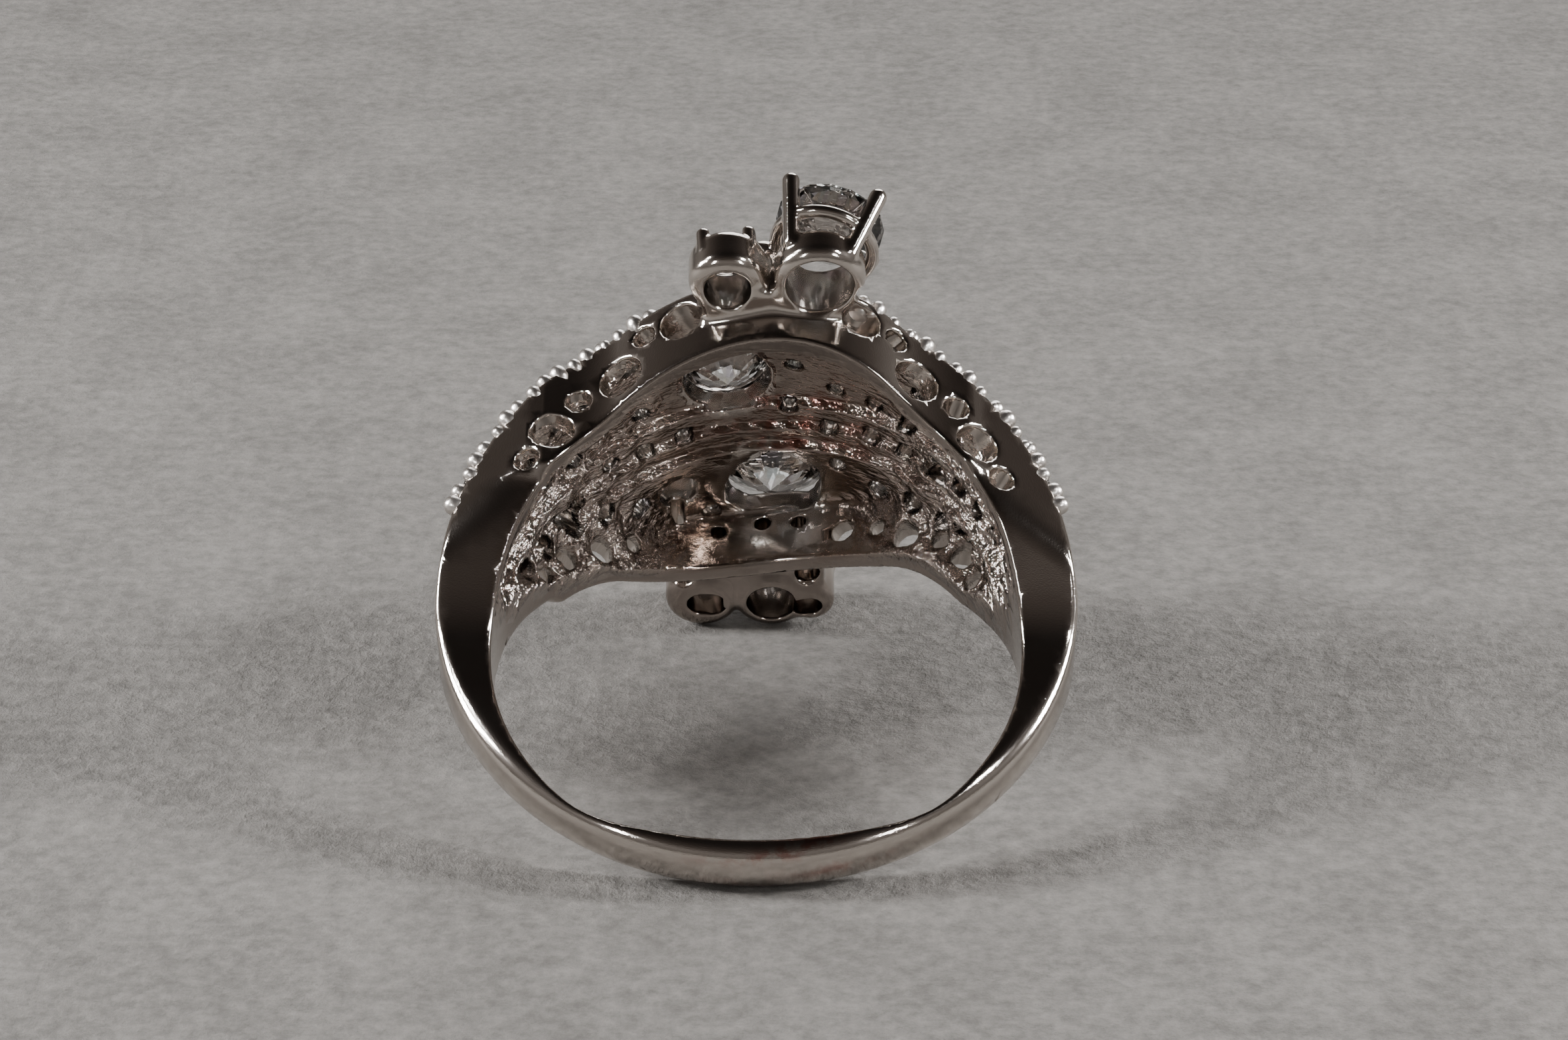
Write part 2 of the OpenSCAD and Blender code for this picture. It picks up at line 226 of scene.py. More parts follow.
def body_at(y):
    """Radius of the outside at a distance along the finger."""
    return body_r - crown_drop * np.maximum(np.abs(y) - crown_flat, 0) / (dome_half - crown_flat)


dome_ease = 0.1
shank_ease = 0.72
ease_span = 1.2


def body_outside(x, y, z):
    """Distance to the body without its finger hole and its hollow."""
    ease = dome_ease + shank_ease / (1 + np.exp((z + 0.5) / ease_span))
    field = np.hypot(x, z - body_lift) - body_at(y)
    for side in (-1, 1):
        edge = wall(x, z, side)
        steep = np.hypot(*np.gradient(edge, x.ravel(), z.ravel(), axis=(0, 2)))
        field = shared(field, (side * y - edge) / np.sqrt(1 + steep ** 2), ease)
    return field


# rough tiers inside
wall_t = 0.72
hollow_lift = 2.9
tier_turn = math.radians(-6)
tier_sway = 0.1
sway_size = 5
TIERS = [
    # along the finger, radius
    (-9, 7.75), (-0.74, 8.3), (-0.68, 8.0), (0.26, 8.15), (0.32, 7.87), (1.11, 8.05),
    (1.17, 7.74), (9, 8.6)]
ROUGH = [
    # height, size, seed, count
    (0.07, 1.6, 8, 6), (0.055, 0.8, 5, 8)]
middle_x = 0.3
middle_half = 2.2
flank_rise = 3.2
rough_least = 0.12
near_rough = 0.2
near_from = 1.6
near_rise = 0.8


def waves(x, y, z, size, seed, count=5):
    """Slow unevenness about 0, mostly within 1 of it, with bumps of about the given size."""
    chance = np.random.default_rng(seed)
    total = 0
    for k in range(count):
        turn = chance.normal(size=3)
        turn *= 2 * np.pi / (size * (0.7 + 0.8 * chance.random())) / np.linalg.norm(turn)
        total = total + np.sin(turn[0] * x + turn[1] * y + turn[2] * z + 9 * chance.random())
    return total / count ** 0.5 / 1.2


def flank(x, y):
    """How rough the hollow is: smooth in the far middle, rough to the left and right."""
    out = np.clip((np.abs(x - middle_x) - middle_half) / flank_rise, 0, 1)
    near = near_rough * np.clip((near_from - y) / near_rise, 0, 1)
    return rough_least + np.maximum((1 - rough_least) * out * out * (3 - 2 * out), near)


wall_slant = 0.85
inside_ease = 0.3
flank_fill = 1.1


def hollow(x, y, z):
    """Distance to the hollow under the dome."""
    across = x * math.cos(tier_turn) + y * math.sin(tier_turn)
    along = y * math.cos(tier_turn) - x * math.sin(tier_turn)
    along = along + tier_sway * waves(x, 0, z, sway_size, 3)
    reach = np.interp(along, *np.array(TIERS).T).astype(np.float32)
    field = np.hypot(across, z - hollow_lift) - reach
    for side, ease in ((-1, inside_ease), (1, inside_ease + flank_fill * flank(x, y))):
        edge = wall(x, z, side) - wall_t
        field = shared(field, (side * y - edge) * wall_slant, ease)
    rough = sum(height * waves(x, y, z, size, seed, count) for height, size, seed, count in ROUGH)
    return field + rough * flank(x, y)


hollow_edge = 0.12
hole_edge = 0.16
hole_ease = 0.3
body_step = 0.075
body_coarse = 0.05
body = Block((-10.7, -6.9, -8.8), (10.7, 5.9, 12.75), body_step)
body.field = body_outside(body.x, body.y, body.z)
body.field = cut(body.field, hollow(body.x, body.y, body.z), hollow_edge)
round_hole = np.hypot(body.x, body.z) - hole_r
flat_hole = np.hypot(body.x, body.z - flat_lift) - flat_r
body.field = cut(body.field, shared(round_hole, flat_hole, hole_ease), hole_edge)

# how the surface was left: as cast or with polishing compound on it; shade is painted into the
# finger hole and under the far head
skin_fade = 0.25
rim_polished = 0.14
rim_fade = 0.1
shade_fade = 0.3
shade_from = -0.5
shade_rise = 3
under_y = 5.4
under_y_rise = 0.6
under_z = 10.4
under_z_fall = 0.9
residue_at = (-0.7, 0.3, 1.15)
residue_width = 0.16
residue_middle = 1.2
residue_spread = 2.6


def cast_skin(x, y, z):
    """1 where the surface is still as cast, under the dome, and 0 where it is polished."""
    skin = 1 - np.clip(hollow(x, y, z) / skin_fade, 0, 1)
    for name in DOME_NAMES:
        spot, hole = main_spots[name], PLACES[name][6]
        u, v, w = spot.within(x - spot.place[0], y - spot.place[1], z - spot.place[2])
        skin = skin * np.clip((np.hypot(u, v) - hole - rim_polished) / rim_fade, 0, 1)
    return skin


def painted_bore_shade(x, y, z):
    """1 where shade is painted into the metal's colour: in the finger hole, fading out low on the
    shank, and under the far head.
    """
    bore = 1 - np.clip(np.abs(np.hypot(x, z) - hole_r) / shade_fade, 0, 1)
    bore = bore * np.clip((z - shade_from) / shade_rise, 0, 1)
    far = np.clip((y - under_y) / under_y_rise, 0, 1)
    return np.maximum(bore, far * np.clip((under_z - z) / under_z_fall, 0, 1))


def polish_left(x, y, z):
    """1 along the tiers' edges at the top, where red polishing compound was left."""
    along = y * math.cos(tier_turn) - x * math.sin(tier_turn)
    spread = np.exp(-((x - residue_middle) / residue_spread) ** 2)
    lines = sum(np.exp(-((along - at) / residue_width) ** 2) for at in residue_at)
    return np.clip(spread * lines, 0, 1)


# holes along both walls
NEAR_HOLES = [
    # angle from the top, distance from the finger axis, radius
    (16.5, 10.45, 0.72), (23, 10.7, 0.4), (30, 9.72, 0.78), (38.5, 9.95, 0.42),
    (47, 9.5, 0.7), (55.5, 9.4, 0.42)]
near_middle = 2.5
FAR_HOLES = [
    # angle from the top, distance from the finger axis, radius
    (-54, 9.4, 0.34), (-45.5, 9.35, 0.38), (-36.5, 9.4, 0.45), (-28.5, 9.7, 0.3),
    (19, 9.7, 0.42), (26.5, 9.8, 0.3), (33.5, 9.45, 0.46), (40.5, 9.6, 0.3),
    (46.5, 9.4, 0.4), (55, 9.3, 0.36)]
WALL_HOLES = [
    # across, height, radius
    (-2.8, 10.35, 0.26), (-1.38, 10, 0.26), (0.15, 10.3, 0.28), (1.4, 10.1, 0.26)]
hole_depth = 1.3
small_hole_y = 4.6
small_hole_depth = 1.4
small_hole_edge = 0.06
slope_step = 0.05


def drilled(block, place, aim, radius, depth, soft=0.1):
    """Drills a round hole through the block's shape, as deep below place as above it."""
    reach = math.hypot(radius, depth) + soft
    part, x, y, z = block.near(place, reach)
    axis = np.array(aim, dtype=float) / np.linalg.norm(aim)
    along = x * axis[0] + y * axis[1] + z * axis[2]
    round_ = np.sqrt(np.maximum(x * x + y * y + z * z - along * along, 0)) - radius
    block.field[part] = cut(block.field[part], shared(round_, np.abs(along) - depth, soft), soft)


def pierced(block, side):
    """Drills the round holes along one wall, square to it."""
    table = FAR_HOLES if side > 0 else [(half * angle + near_middle, far, radius)
        for half in (-1, 1) for angle, far, radius in NEAR_HOLES]
    for angle, far, radius in table:
        turn = math.radians(angle)
        x, z = far * math.sin(turn), far * math.cos(turn)
        ends = [side * float(wall(np.array(x + d), np.array(z), side))
            for d in (-slope_step, slope_step)]
        slope = (ends[1] - ends[0]) / (2 * slope_step)
        drilled(block, (x, sum(ends) / 2, z), (-slope, 1, 0), radius, hole_depth)
    for x, z, radius in WALL_HOLES if side > 0 else ():
        drilled(block, (x, small_hole_y, z), (0, 1, 0), radius, small_hole_depth,
            small_hole_edge)


pierced(body, -1)
pierced(body, 1)


# places on the dome
class Spot:
    """A place in the ring's own space with its own upward axis."""

    def __init__(self, place, up):
        self.place = np.array(place, dtype=float)
        self.w = np.array(up, dtype=float) / np.linalg.norm(up)
        side = np.cross((0, 1, 0), self.w)
        self.u = side / np.linalg.norm(side)
        self.v = np.cross(self.w, self.u)

    def within(self, x, y, z):
        """Places from this spot, along its own axes."""
        return [a[0] * x + a[1] * y + a[2] * z for a in (self.u, self.v, self.w)]

    def at(self, x, y, z):
        """A point given along this spot's own axes, in the ring's space."""
        return self.place + x * self.u + y * self.v + z * self.w


def on_dome(angle, y, sink=0.0):
    """A spot on the dome's outside, at degrees from its top and a distance along the finger."""
    turn = math.radians(angle)
    radius = float(body_at(y))
    drop = crown_drop / (dome_half - crown_flat) if abs(y) > crown_flat else 0
    up = np.array((math.sin(turn), math.copysign(drop, y), math.cos(turn)))
    place = np.array((radius * math.sin(turn), y, body_lift + radius * math.cos(turn)))
    return Spot(place - sink * up / np.linalg.norm(up), up)


edge_at = 3


def edge_y(angle, side):
    """How far along the finger the dome's edge is at an angle from its top."""
    turn = math.radians(angle)
    radius = float(body_at(edge_at))
    x = np.array(radius * math.sin(turn))
    return side * float(wall(x, np.array(body_lift + radius * math.cos(turn)), side))


stone_sink = 0.12
edge_d = 1.45
edge_in = 0.88
edge_first = 27.5
edge_step = 10
edge_count = 5
field_d = 1.3
ROWS = [
    # distance from the outline's middle, first angle, step, count
    (-0.75, 25, 8.6, 2), (0.75, 25, 8.6, 2), (0, 42.4, 8.2, 4)]
FILL = [
    # across, along the finger
    (1.35, -2.7), (1.2, -0.6), (2.95, -1.9), (2.75, 0.1), (3.15, 1.9), (-2.85, 0.5),
    (-2.7, -3.7), (-1.2, -4.35), (0.35, -4.05), (1.9, -4.35), (3.4, -3.5), (-1.75, 4.6),
    (0.3, -5.5)]
edge_spots = {side: [
    on_dome(half * (edge_first + i * edge_step),
        edge_y(half * (edge_first + i * edge_step), side) - side * edge_in, stone_sink)
    for half in (-1, 1) for i in range(edge_count)] for side in (-1, 1)}
dome_spots = [
    on_dome(half * (first + i * step),
        along + float(plan_middle(body_r * math.sin(math.radians(half * (first + i * step))))),
        stone_sink)
    for along, first, step, count in ROWS for half in (-1, 1) for i in range(count)]
dome_spots += [
    on_dome(math.degrees(math.asin(x / float(body_at(y)))), y, stone_sink) for x, y in FILL]

PLACES = {
    # across, along the finger, height of the girdle, diameter, lean to the right, prongs,
    # radius of the hole below, its depth
    "far_centre_stone": (0.5, 2.95, 12, 4, 2.5, 6, 1.85, 1.3),
    "near_centre_stone": (-1.15, -1.85, 12.1, 3.2, -6.5, 4, 1.45, 1.5),
    "side_stone": (-3.15, 2.95, 11.55, 1.6, -18, 4, 0.7, 2),
    "tall_head_stone": (2.4, -7.65, 12.5, 3.6, 11, 0, 0.9, 2.3),
    "round_head_stone": (-1, -7.3, 11.5, 1.9, -4, 4, 0.57, 2.4),
    "between_head_stone": (0.2, -6.6, 12, 1.1, 2, 4, 0.36, 1.2),
    "far_left_stone": (-1.95, 7.4, 11.3, 1.8, -8, 4, 0.54, 2.4),
    "far_middle_stone": (0.4, 7.4, 11.7, 2.2, 0, 4, 0.66, 2.4),
    "far_right_stone": (1.95, 7.5, 11.2, 1.3, 10, 4, 0.39, 2.4)}
DOME_NAMES = ("far_centre_stone", "near_centre_stone", "side_stone")
main_spots = {}
for name, (x, y, z, d, lean, *rest) in PLACES.items():
    turn = math.radians(lean)
    main_spots[name] = Spot((x, y, z), (math.sin(turn), 0, math.cos(turn)))

# seats and prongs, in parts of the stone's diameter where they follow it
stone_gap = 0.04
cone_depth = 0.42
cone_more = 1.6
cone_top = 0.02
edge_seat_hole = 0.36
dome_seat_hole = 0.3
stone_prong_r = 0.16
stone_prong_more = 0.05
stone_prong_foot = 0.6
stone_prong_top = 0.4
stone_prong_join = 0.05


def seat(block, spot, d, hole, depth=2.4, rise=1.5, soft=0.06):
    """Cuts the cone that a stone sits in, open above it, with a narrower hole below."""
    part, x, y, z = block.near(spot.place, depth + 0.3)
    u, v, w = spot.within(x, y, z)
    r = d / 2 + stone_gap
    top = -cone_top * d
    neck = (-cone_depth * d - cone_more * stone_gap) * (1 - hole / r) + top
    reach = np.interp(w, [neck, top], [hole, r])
    steep = math.hypot(1, (r - hole) / (top - neck))
    shape = (np.sqrt(u * u + v * v) - reach) / np.where((w > neck) & (w < top), steep, 1)
    shape = shared(shape, np.abs(w - (rise - depth) / 2) - (rise + depth) / 2, soft)
    block.field[part] = cut(block.field[part], shape, soft)


def rod(block, start, end, r_start, r_end, soft):
    """Adds a round rod with ball ends to the block's shape."""
    a, b = np.array(start, dtype=float), np.array(end, dtype=float)
    reach = np.linalg.norm(b - a) / 2 + max(r_start, r_end) + 0.3
    part, x, y, z = block.near((a + b) / 2, reach)
    line = b - a
    half = line / 2
    t = ((x + half[0]) * line[0] + (y + half[1]) * line[1] + (z + half[2]) * line[2])
    t = np.clip(t / (line @ line), 0, 1)
    off = [p + half[k] - t * line[k] for k, p in enumerate((x, y, z))]
    shape = np.sqrt(off[0] ** 2 + off[1] ** 2 + off[2] ** 2) - (r_start + (r_end - r_start) * t)
    block.field[part] = joined(block.field[part], shape, soft)


def stone_prongs(block, names):
    """Adds the small prongs round the named stones, thicker at a larger stone."""
    for name in names:
        spot, d, prongs = main_spots[name], PLACES[name][3], PLACES[name][5]
        r = stone_prong_r + stone_prong_more * d
        out = d / 2 + r / 3
        for k in range(prongs):
            turn = 2 * math.pi * (k + 1.5) / prongs
            x, y = out * math.cos(turn), out * math.sin(turn)
            rod(block, spot.at(x, y, -stone_prong_foot), spot.at(x, y, stone_prong_top - r),
                r, r, stone_prong_join)


stone_prongs(body, DOME_NAMES)
for name in DOME_NAMES:
    seat(body, main_spots[name], PLACES[name][3], *PLACES[name][6:])
for side in (-1, 1):
    for spot in edge_spots[side]:
        seat(body, spot, edge_d, edge_seat_hole)
for spot in dome_spots:
    seat(body, spot, field_d, dome_seat_hole)

# open slots at the shoulders
slot_depth = 3
slot_edge = 0.1
SLOTS = [
    # angle from the top, along the finger, length along the ring, width
    (-47, 1.55, 1.1, 0.4), (43, -0.02, 0.8, 0.45), (55, 1.6, 0.8, 0.4)]
for angle, along, length, width in SLOTS:
    spot = on_dome(angle, along)
    part, x, y, z = body.near(spot.place, slot_depth)
    u, v, w = spot.within(x, y, z)
    shape = np.hypot(np.maximum(np.abs(u) - length / 2, 0), v) - width / 2
    shape = shared(shape, -slot_depth - w, slot_edge)
    body.field[part] = cut(body.field[part], shape, slot_edge)


# metal
class Socket:
    """An output of a material's node, so that shader maths reads as plain expressions."""

    def __init__(self, tree, out):
        self.tree = tree
        self.out = out

    def node(self, kind, settings=None, values=None, output=0):
        """Adds any other node: its type, its settings, and its sockets' values or links."""
        made = self.tree.nodes.new(kind)
        for name, value in (settings or {}).items():
            if name == "stops":
                ramp = made.color_ramp.elements
                while len(ramp) < len(value):
                    ramp.new(1)
                for stop, (place, colour) in zip(ramp, value):
                    stop.position = place
                    stop.color = (*colour, 1)
            else:
                setattr(made, name, value)
        for name, value in (values or {}).items():
            if isinstance(value, Socket):
                self.tree.links.new(value.out, made.inputs[name])
            else:
                made.inputs[name].default_value = value
        return Socket(self.tree, made.outputs[output])

    def maths(self, operation, *values):
        return self.node("ShaderNodeMath", {"operation": operation}, dict(enumerate(values)))

    def __add__(self, other): return self.maths("ADD", self, other)
    def __radd__(self, other): return self.maths("ADD", other, self)
    def __sub__(self, other): return self.maths("SUBTRACT", self, other)
    def __rsub__(self, other): return self.maths("SUBTRACT", other, self)
    def __mul__(self, other): return self.maths("MULTIPLY", self, other)
    def __rmul__(self, other): return self.maths("MULTIPLY", other, self)

    def between(self, low, high):
        """0 below low and 1 above high, with a soft step from one to the other."""
        return self.node("ShaderNodeMapRange", {"interpolation_type": "SMOOTHSTEP"},
            {"Value": self, "From Min": low, "From Max": high})


def mixed(mask, low, high):
    """A colour between two, by a mask; any of the three may be a socket."""
    return mask.node("ShaderNodeMix", {"data_type": "RGBA"},
        {"Factor": mask, 6: colour(low), 7: colour(high)}, output=2)


def colour(value):
    """A colour as a node takes it, or the socket that gives one."""
    return value if isinstance(value, Socket) else (*value, 1)


def material(name):
    """A new material, with the socket class at its object coordinates in millimetres."""
    made = bpy.data.materials.new(name)
    made.use_nodes = True
    tree = made.node_tree
    place = Socket(tree, tree.nodes.new("ShaderNodeTexCoord").outputs["Object"])
    scaled = place.node("ShaderNodeVectorMath", {"operation": "SCALE"},
        {0: place, "Scale": 1 / MM})
    return made, tree.nodes["Principled BSDF"], scaled


def feed(shader, name, value):
    """Sets or links one socket of a material's shader."""
    if isinstance(value, Socket):
        value.tree.links.new(value.out, shader.inputs[name])
    else:
        shader.inputs[name].default_value = value


def noise(place, scale, detail, rough):
    """Cloudy noise at a place, with scale spots to the millimetre."""
    return place.node("ShaderNodeTexNoise", None,
        {"Vector": place, "Scale": scale, "Detail": detail, "Roughness": rough})


def marked(place, name, output=2):
    """What the mesh says of its surface at each place under a name."""
    return place.node("ShaderNodeAttribute", {"attribute_name": name}, output=output)


polished_tone = (0.63, 0.575, 0.53)
painted_shade_tone = (0.33, 0.28, 0.25)
shaded_cast_tone = (0.29, 0.23, 0.193)
lit_flank_tone = (0.60, 0.525, 0.475)
residue_tone = (0.42, 0.12, 0.085)
pit_shade_tone = (0.10, 0.08, 0.07)
cast_depth = 0.27
scratch_depth = 0.005
metal, shader, place = material("white_gold")
cast, residue = marked(place, "cast"), marked(place, "residue")
ripple, dull = marked(place, "ripple"), marked(place, "dull")
lay = marked(place, "lay", output=1)
# the casting's grit runs a little along the ring, and the polisher's scratches much more
drawn = lay.node("ShaderNodeMapping", None, {"Vector": lay, "Scale": (0.5, 1, 0.6)})
grit = noise(drawn, 5.6, 3, 0.5)
lumps = noise(place, 1.1, 2, 0.5)
smears = noise(place, 0.35, 3, 0.6)
# painted shade: near-black spots where the grit is high on the rough as-cast flanks, standing in
# for shade in pits
painted_pit_shade = grit.between(0.58, 0.70) * cast * ripple
stain = residue * noise(place, 1.7, 3, 0.6).between(0.42, 0.62)
# painted shade: the finger hole and the underside of the far head take a darker tone, varied a
# little by the smears
tone = mixed(dull * (0.75 + 0.25 * smears), polished_tone, painted_shade_tone)
# the as-cast hollow keeps its own darker tone; painted shade makes its far middle darker still,
# and painted light makes the rough flanks to the left and right lighter
tone = mixed(cast, tone, mixed(ripple, shaded_cast_tone, lit_flank_tone))
tone = mixed(painted_pit_shade * 0.6, tone, pit_shade_tone)
tone = mixed(stain * 0.65, tone, residue_tone)
feed(shader, "Base Color", tone)
feed(shader, "Metallic", 1)
feed(shader, "Roughness", 0.05 + smears * 0.12 + cast * (grit * 0.08 - 0.01))
relief = cast * ripple * (grit * 0.8 + lumps * 0.9)
bump = relief.node("ShaderNodeBump", None,
    {"Height": relief, "Distance": cast_depth * MM, "Strength": 1.0})
scratches = noise(lay.node("ShaderNodeMapping", None,
    {"Vector": lay, "Scale": (0.5, 9, 4)}), 5, 2, 0.5)
feed(shader, "Normal", relief.node("ShaderNodeBump", None,
    {"Height": scratches, "Distance": scratch_depth * MM, "Strength": 0.6, "Normal": bump}))


def metal_piece(ob):
    """A piece of the soldered mount, which moves with the ring and stands for its solid."""
    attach(ob, "root")
    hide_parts("ring_mount")


metal_piece(body.mesh("cast_body", body_coarse, metal))

# Near head
# A round cup and a tall basket stand on the near rail, soldered to it through a web, with a
# small cup between them. The basket's four stout prongs rise from its open base ring.
head_step = 0.05
head_coarse = 0.01
NEAR_CUPS = [
    # across, along the finger, foot, height, outer radius, foot hole
    (2.05, -7.6, 9.65, 1.45, 1.5, 1.1), (-0.95, -7.26, 9.87, 1.7, 1.28, 0.74),
    (0.2, -6.6, 11.2, 1.05, 0.8, 0.38)]
NEAR_WEB = (
    # left, right, two ends along the finger, foot, top
    -1.7, 3.1, -7.15, -5.3, 9.75, 11.55)
near_cups_join = 0.2
near_web_join = 0.45
cup_round = 0.5
web_ease = 0.3
head_in = 0.3
fillet = 0.5
patch_under = 0.05
patch_edge = 0.04
foot_hole_more = 0.5
foot_hole_edge = 0.12


def cups(x, y, z, table, soft):
    """Distance to a row of round cups, run together where they meet."""
    field = None
    for cx, cy, foot, tall, r, hole in table:
        ease = min(cup_round, r / 2)
        out = np.hypot(x - cx, y - cy) - (r - ease)
        high = np.abs(z - foot - tall / 2) - (tall / 2 - ease)
        cup = np.hypot(np.maximum(out, 0), np.maximum(high, 0)) - ease
        cup = cup + np.minimum(np.maximum(out, high), 0)
        field = cup if field is None else joined(field, cup, soft)
    return field


def web(x, y, z, left, right, start, end, foot, top):
    """Distance to the straight web that carries the cups from a rail, with eased edges."""
    mid = (start + end) / 2
    along = np.abs(y - mid) - abs(end - start) / 2
    across = np.abs(x - (left + right) / 2) - (right - left) / 2
    high = np.abs(z - (foot + top) / 2) - (top - foot) / 2
    return shared(shared(along, across, web_ease), high, web_ease)


def patched(block, head, side):
    """The head with a fillet, and a patch of the wall under it, where it is soldered on."""
    inside = wall(block.x, block.z, side) - head_in - side * block.y
    head = shared(head, inside, 0.1)
    base = patch_under + body_outside(block.x, block.y, block.z)
    base = cut(base, hollow(block.x, block.y, block.z), hollow_edge)
    base = cut(base, np.hypot(block.x, block.z) - hole_r, hole_edge)
    reach = head - fillet - patch_edge
    return shared(joined(base, head, fillet), reach, patch_edge)


near_head = Block((-2.9, -10.4, 9), (4.9, -4.7, 14.4), head_step)
cups_field = cups(near_head.x, near_head.y, near_head.z, NEAR_CUPS, near_cups_join)
web_field = web(near_head.x, near_head.y, near_head.z, *NEAR_WEB)
near_head.field = patched(near_head, joined(cups_field, web_field, near_web_join), -1)
tall_d = PLACES["tall_head_stone"][3]
tall_turn = math.radians(49)
prong_r = 0.3
prong_low_r = prong_r * 0.92
prong_out = 0.24
prong_top = 0.18
prong_length = 2.35
prong_tilt = math.radians(17)
prong_join = 0.15
tall = main_spots["tall_head_stone"]
for k in range(4):
    turn = tall_turn + k * math.pi / 2
    out = tall_d / 2 + prong_out
    low = out - prong_length * math.sin(prong_tilt)
    foot = prong_top - prong_length * math.cos(prong_tilt)
    rod(near_head, tall.at(low * math.cos(turn), low * math.sin(turn), foot),
        tall.at(out * math.cos(turn), out * math.sin(turn), prong_top),
        prong_low_r, prong_r, prong_join)
band_drop = 1.05
band_in = 0.2
band_ring = tall_d / 2 - band_in
band_r = 0.22
band_join = 0.1
part, x, y, z = near_head.near(tall.place, 2.6)
u, v, w = tall.within(x, y, z)
band = np.hypot(np.hypot(u, v) - band_ring, w + band_drop) - band_r
near_head.field[part] = joined(near_head.field[part], band, band_join)


def open_cups(block, table, names):
    """Drills the cups' feet and cuts the seats of their stones."""
    for cx, cy, foot, height, r, hole in table:
        drilled(block, (cx, cy, foot + height / 2), (0, 0, 1), hole,
            height / 2 + foot_hole_more, foot_hole_edge)
    for name in names:
        seat(block, main_spots[name], PLACES[name][3], *PLACES[name][6:])


NEAR_NAMES = ("tall_head_stone", "round_head_stone", "between_head_stone")
stone_prongs(near_head, NEAR_NAMES)
open_cups(near_head, NEAR_CUPS, NEAR_NAMES)
pierced(near_head, -1)
metal_piece(near_head.mesh("near_head", head_coarse, metal))

# Far head
# Three cups in a row behind the far rail, run together into one lobed wall that the ring
# rests on, with a small hole on each side of the web.
FAR_CUPS = [
    # across, along the finger, foot, height, outer radius, foot hole
    (-1.95, 7.4, 8.95, 2.4, 1.3, 0.52), (0.45, 7.35, 8.95, 2.8, 1.35, 0.84),
    (1.8, 7.5, 8.95, 2.3, 0.85, 0.4)]
FAR_WEB = (
    # left, right, two ends along the finger, foot, top
    -2.7, 2.3, 4.8, 7.4, 9.2, 11.1)
far_cups_join = 0.25
far_web_join = 0.35
SIDE_HOLES = [
    # across, along the finger, height, radius
    (-2.65, 6.1, 10, 0.4), (1.7, 6.05, 10, 0.4)]
side_hole_depth = 3
side_hole_edge = 0.15
FAR_NAMES = ("far_left_stone", "far_middle_stone", "far_right_stone")
far_head = Block((-3.7, 4.2, 8.5), (3.1, 9.2, 13), head_step)
cups_field = cups(far_head.x, far_head.y, far_head.z, FAR_CUPS, far_cups_join)
web_field = web(far_head.x, far_head.y, far_head.z, *FAR_WEB)
far_head.field = patched(far_head, joined(cups_field, web_field, far_web_join), 1)
stone_prongs(far_head, FAR_NAMES)
open_cups(far_head, FAR_CUPS, FAR_NAMES)
pierced(far_head, 1)
for x, y, z, radius in SIDE_HOLES:
    drilled(far_head, (x, y, z), (0, 0, 1), radius, side_hole_depth, side_hole_edge)
metal_piece(far_head.mesh("far_head", head_coarse, metal))

# Cut stones
# Colourless brilliants with a table, crown, thin girdle and pointed pavilion: nine of them in
# seats and heads of their own, and rows of small ones along the edges and over the dome.
table_r = 0.285
crown_h = 0.155
star_r = 0.4
girdle_h = 0.03
pavilion_h = 0.405
lower_r = 0.14


def brilliant_mesh(name):
    """A brilliant of diameter 1, with its girdle's middle at the origin and its table up."""
    turns = [k * math.pi / 8 for k in range(16)]
    main = math.cos(math.pi / 8)
    star_z = crown_h * (0.5 - star_r * main) / (0.5 - table_r)
    lower_z = pavilion_h * (1 - lower_r * main / 0.5)
    up, down = girdle_h / 2, -girdle_h / 2

    def ring(radius, z, picks):
        return [(radius * math.cos(turns[k]), radius * math.sin(turns[k]), z) for k in picks]

    even, odd, every = range(0, 16, 2), range(1, 16, 2), range(16)
    points = (ring(table_r, up + crown_h, even) + ring(star_r, up + star_z, odd)
        + ring(0.5, up, every) + ring(0.5, down, every) + ring(lower_r, down - lower_z, odd)
        + [(0, 0, down - pavilion_h)])
    table, star, top, low, deep, culet = 0, 8, 16, 32, 48, 56
    faces = [tuple(range(8))]
    for k in range(8):
        after, before = (k + 1) % 8, (k - 1) % 8
        here, mid, there = 2 * k, 2 * k + 1, (2 * k + 2) % 16
        faces += [
            (table + after, table + k, star + k),
            (table + k, star + before, top + here, star + k),
            (star + k, top + here, top + mid), (star + k, top + mid, top + there),
            (top + here, low + here, low + mid, top + mid),
            (top + mid, low + mid, low + there, top + there),
            (deep + k, low + mid, low + here), (deep + k, low + there, low + mid),
            (culet, deep + k, low + here, deep + before)]
    mesh = bpy.data.meshes.new(name)
    mesh.from_pydata(points, [], faces)
    mesh.validate()
    return mesh


glass, shader, place = material("brilliant_cut")
# painted light: cells of the colourless stone are tinted pale blue, yellow and violet at random,
# as flashes of fire
painted_fire = place.node("ShaderNodeTexWhiteNoise", {"noise_dimensions": "3D"},
    {"Vector": place.node("ShaderNodeVectorMath", {"operation": "SNAP"},
        {0: place, 1: (0.35, 0.35, 0.35)})})
painted_fire_tint = place.node("ShaderNodeValToRGB", {"stops": [
    (0.0, (1, 1, 1)), (0.8, (1, 1, 1)), (0.83, (0.72, 0.93, 1)), (0.9, (1, 0.9, 0.74)),
    (0.96, (0.88, 0.84, 1))]}, {"Fac": painted_fire})
feed(shader, "Base Color", painted_fire_tint)
feed(shader, "Roughness", 0.0)
feed(shader, "IOR", 2.2)
feed(shader, "Transmission Weight", 1.0)


